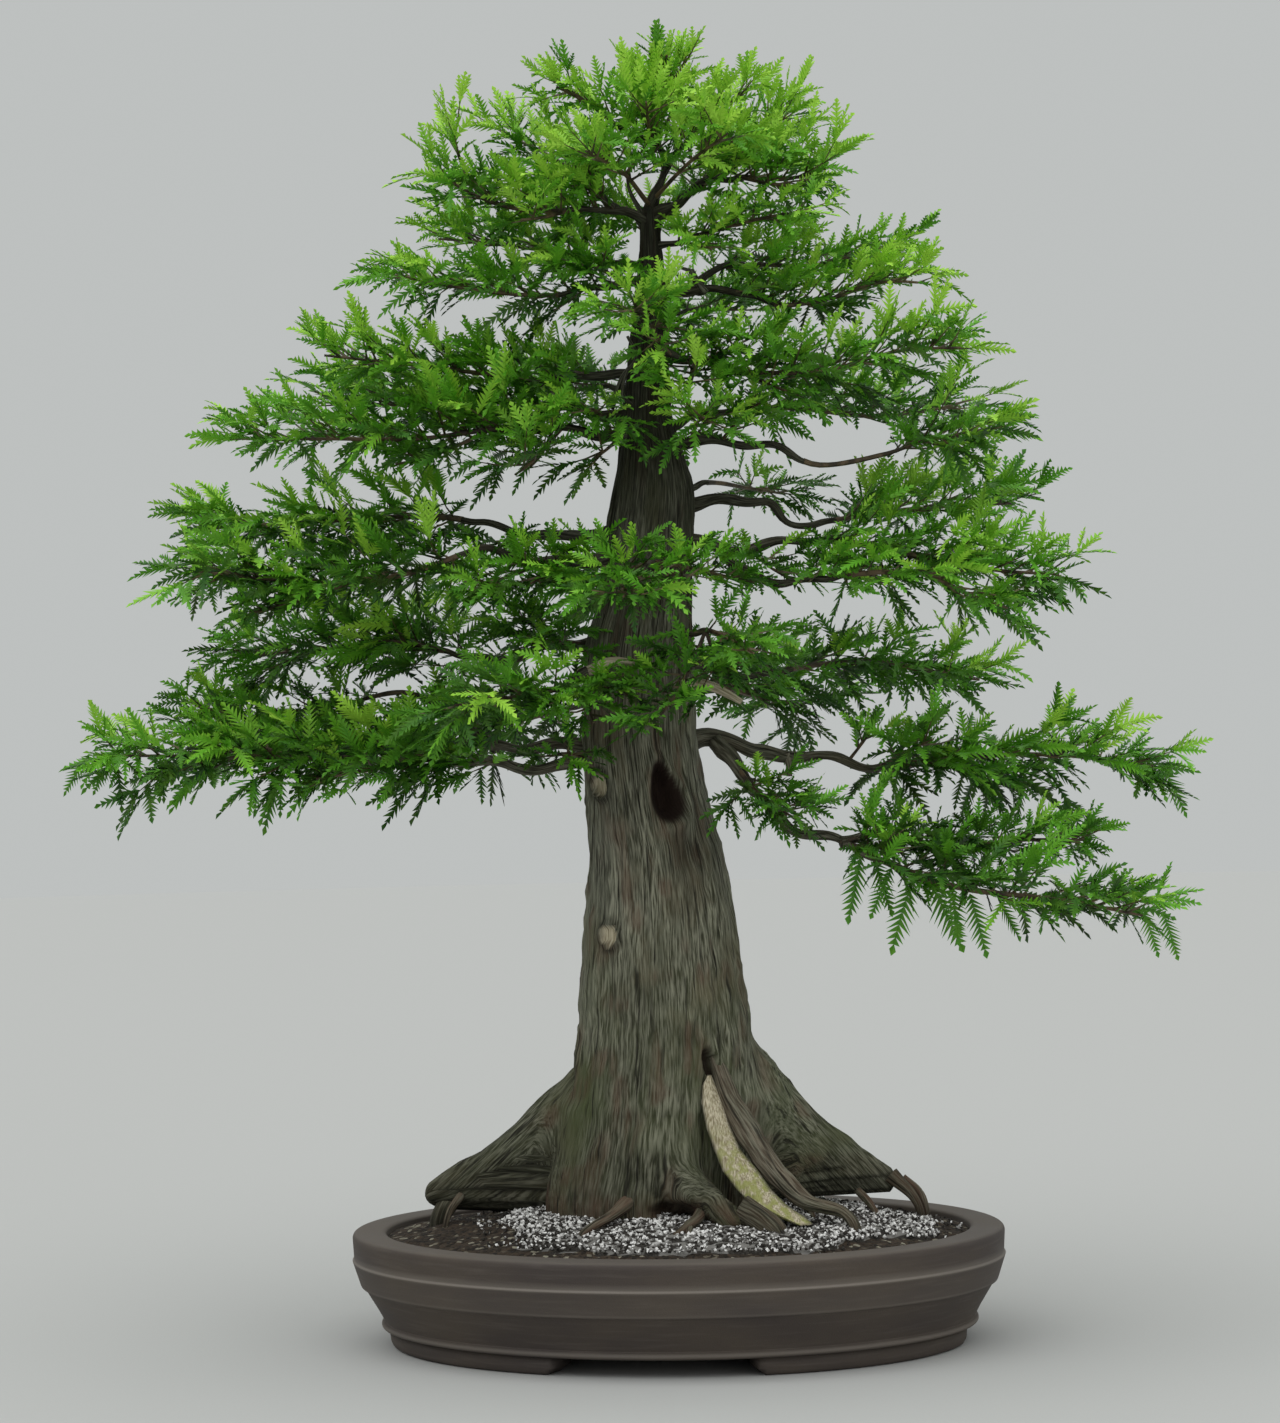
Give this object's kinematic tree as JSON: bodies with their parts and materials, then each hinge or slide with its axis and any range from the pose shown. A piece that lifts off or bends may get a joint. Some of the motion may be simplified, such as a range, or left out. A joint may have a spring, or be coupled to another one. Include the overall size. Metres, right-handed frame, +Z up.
{
  "type": "bald cypress bonsai",
  "caption": "Bald cypress bonsai with a flared, hollowed trunk, surface roots and layered feathery foliage, growing in an oval unglazed clay pot.",
  "frame": {"origin": "middle of the whole object's footprint box, at the height of the surface that the pot's feet stand on", "axes": "+X along the pot's long axis to the viewer's right, +Y to the back, +Z up along the trunk; the tree's own front is turned 7 degrees from the pot's front"},
  "size_m": [0.806, 0.4442, 0.9189],
  "materials": {
    "pot_clay": "unglazed grey-brown stoneware, matt",
    "screen_plastic": "moulded mesh",
    "soil": "dark crumbly potting soil",
    "grit": "pale chips mixed with dark bits",
    "bark": "grey-green fibrous bark",
    "foliage": "soft bright green leaflets"
  },
  "bodies": {
    "root": {"pot": "pot_clay", "drain_screen_left": "screen_plastic", "drain_screen_right": "screen_plastic", "soil": "soil", "grit": "grit", "wood": "bark", "foliage_left_low_front": "foliage", "foliage_left_low_back": "foliage", "foliage_left_low_upper": "foliage", "foliage_left_jin": "foliage", "foliage_left_dark": "foliage", "foliage_left_mid": "foliage", "foliage_left_mid_front": "foliage", "foliage_left_up_front": "foliage", "foliage_left_up_back": "foliage", "foliage_left_high": "foliage", "foliage_left_top": "foliage", "foliage_left_top_back": "foliage", "foliage_crown_left": "foliage", "foliage_crown_left_back": "foliage", "foliage_right_low": "foliage", "foliage_right_low_front": "foliage", "foliage_right_low_inner": "foliage", "foliage_right_dark": "foliage", "foliage_right_mid": "foliage", "foliage_right_mid_low": "foliage", "foliage_right_mid_back": "foliage", "foliage_right_up": "foliage", "foliage_right_up_back": "foliage", "foliage_right_high": "foliage", "foliage_right_top": "foliage", "foliage_right_top_back": "foliage", "foliage_right_neck": "foliage", "foliage_crown_right": "foliage", "foliage_crown_right_back": "foliage", "foliage_apex": "foliage", "foliage_apex_left": "foliage", "foliage_apex_right": "foliage", "foliage_front_high": "foliage", "foliage_front_middle": "foliage", "foliage_front_right": "foliage", "foliage_back_low_left": "foliage", "foliage_back_low_right": "foliage", "foliage_back_middle": "foliage", "foliage_back_middle_right": "foliage", "foliage_back_high_left": "foliage", "foliage_back_high_right": "foliage", "foliage_back_top": "foliage"}
  },
  "joints": []
}
